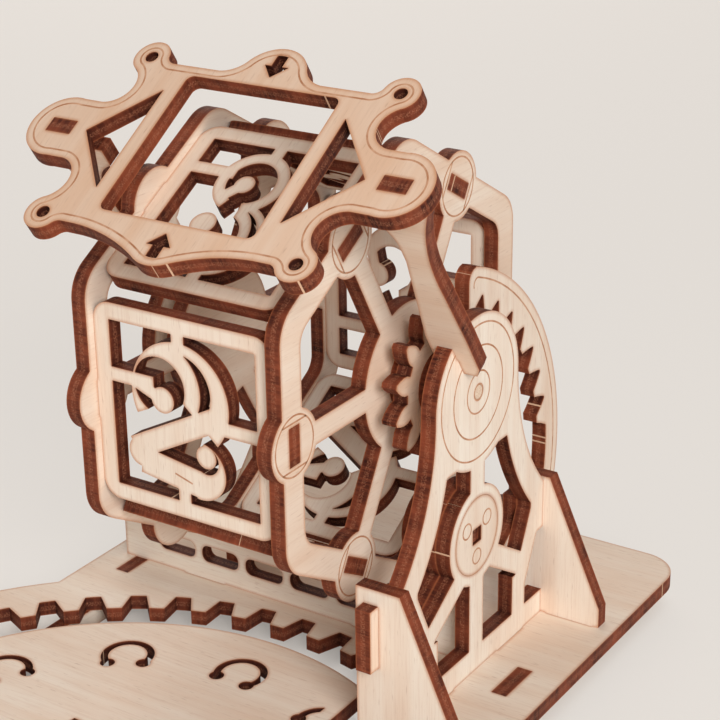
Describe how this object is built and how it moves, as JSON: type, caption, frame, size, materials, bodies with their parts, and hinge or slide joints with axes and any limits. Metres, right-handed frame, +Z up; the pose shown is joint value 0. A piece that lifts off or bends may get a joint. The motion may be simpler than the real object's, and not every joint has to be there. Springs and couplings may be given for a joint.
{
  "type": "mechanical wooden puzzle",
  "caption": "Laser-cut plywood puzzle: a hexagonal fretwork drum in a frame turns when a toothed sector is swung over its pinion.",
  "frame": {"origin": "on the table, under the middle of the base plate's outline", "axes": "+X along the drum axle to the right, +Y to the back, +Z up"},
  "size_m": [0.148, 0.2, 0.1217],
  "materials": {
    "plywood": "matte",
    "stick": "matte"
  },
  "bodies": {
    "frame": {"base_plate": "plywood", "medallion": "plywood", "runner_left": "plywood", "runner_right": "plywood", "side_plate_left": "plywood", "side_plate_right": "plywood", "bearing_plate": "plywood", "bracket_front_right": "plywood", "bracket_back_right": "plywood", "bracket_back_left": "plywood", "rear_rail": "plywood", "window_plate": "plywood", "window_leg_left": "plywood", "window_leg_right": "plywood"},
    "drum": {"drum_ring_left": "plywood", "drum_ring_right": "plywood", "panel_front": "plywood", "panel_front_top": "plywood", "panel_back_top": "plywood", "panel_back": "plywood", "panel_back_low": "plywood", "panel_front_low": "plywood", "drum_axle": "stick", "axle_stub_left": "stick", "axle_spacer": "plywood", "pinion_inner": "plywood", "pinion_outer": "plywood"},
    "lever": {"sector": "plywood", "sector_pin": "plywood", "sector_spacer": "plywood", "bearing_disc": "plywood", "peg_cap": "plywood"}
  },
  "joints": [
    {"name": "lever_swing", "type": "hinge", "parent": "frame", "child": "lever", "pos_m": [0, 0.042, 0.035], "axis": [1, 0, 0], "range_deg": [0, 70]},
    {"name": "drum_spin", "type": "hinge", "parent": "frame", "child": "drum", "pos_m": [0, 0.042, 0.063], "axis": [1, 0, 0], "range_deg": [0, 234]}
  ],
  "couplings": [
    {"joint": "drum_spin", "follows": "lever_swing", "ratio": 3.3333}
  ]
}
